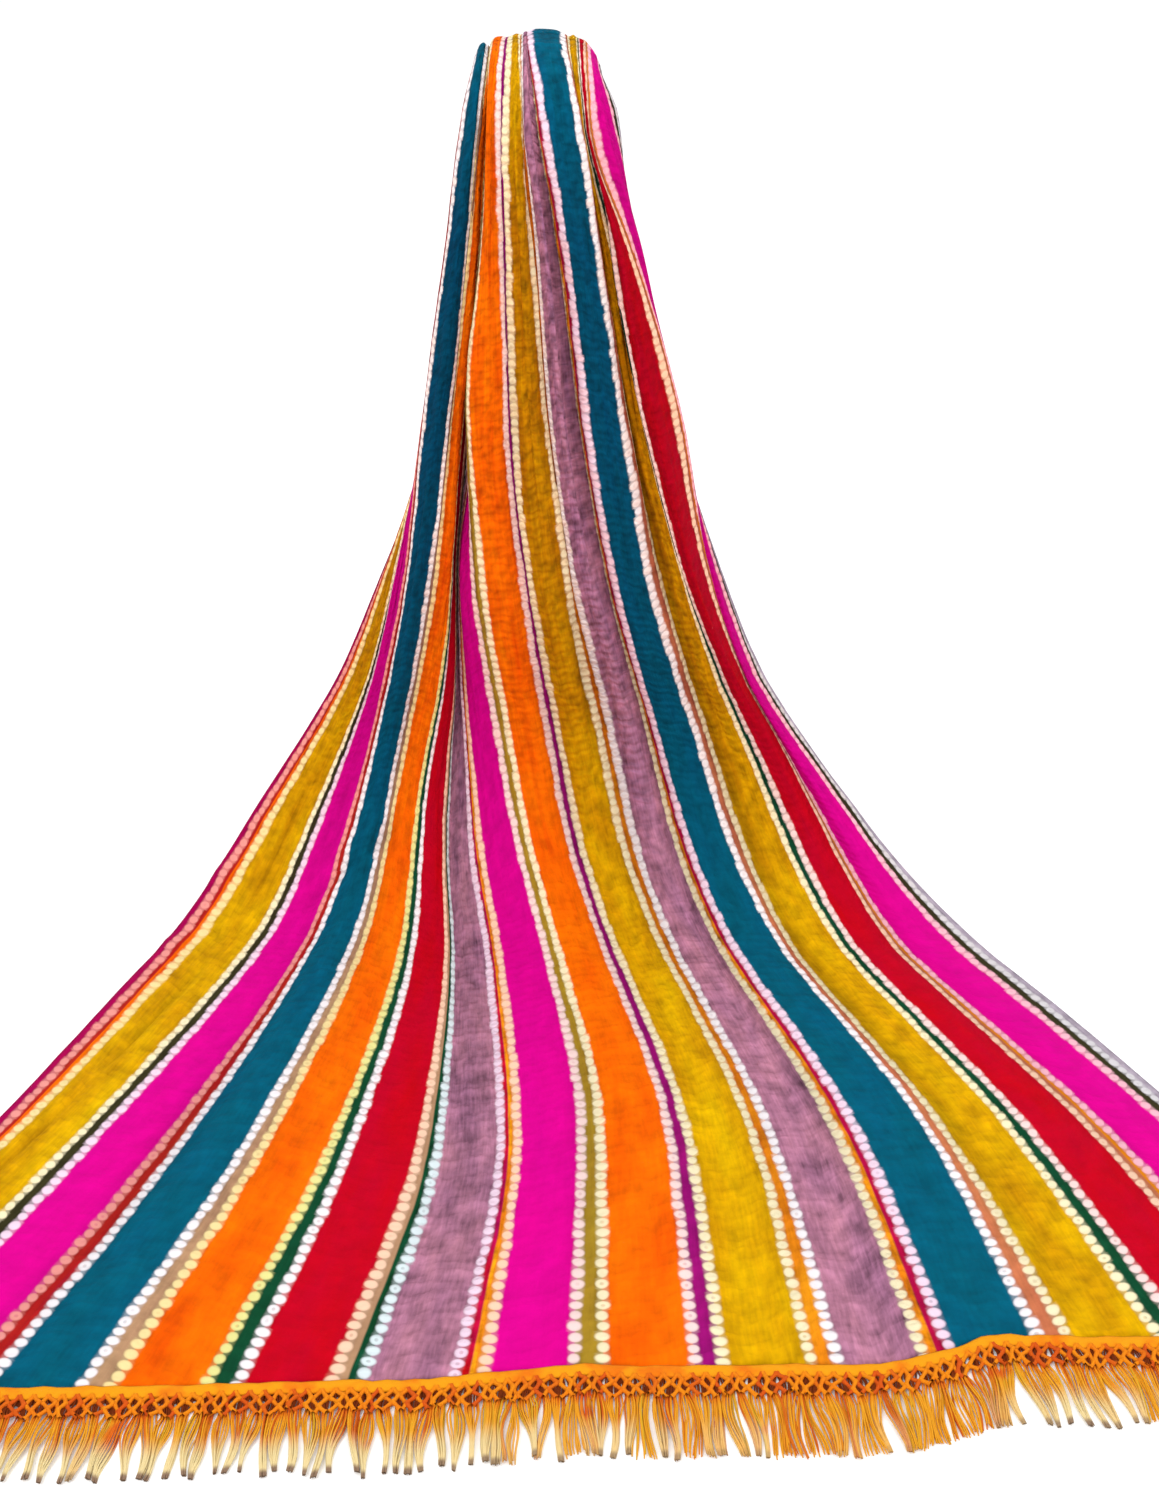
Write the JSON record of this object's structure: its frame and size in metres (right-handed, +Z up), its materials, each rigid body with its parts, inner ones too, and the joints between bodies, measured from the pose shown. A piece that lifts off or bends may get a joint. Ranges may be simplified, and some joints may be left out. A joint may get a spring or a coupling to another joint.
{
  "type": "dupatta",
  "caption": "Striped tie-dyed dupatta hung by its gathered middle, its front end swept out over the floor, with a knotted tassel edging on both ends.",
  "frame": {"origin": "underside of the arch where the gathered cloth is held up, on its middle line", "axes": "+X to the viewer's right along the hem, +Y away from the viewer, +Z up out of the held point"},
  "size_m": [0.958, 0.6295, 0.568],
  "materials": {
    "striped_cloth": "thin crinkled woven cloth, soft low sheen",
    "tassel_thread": "matt twisted thread"
  },
  "bodies": {
    "root": {"front_fall": "striped_cloth", "back_fall": "striped_cloth", "front_tassels": "tassel_thread", "back_tassels": "tassel_thread"}
  },
  "joints": []
}
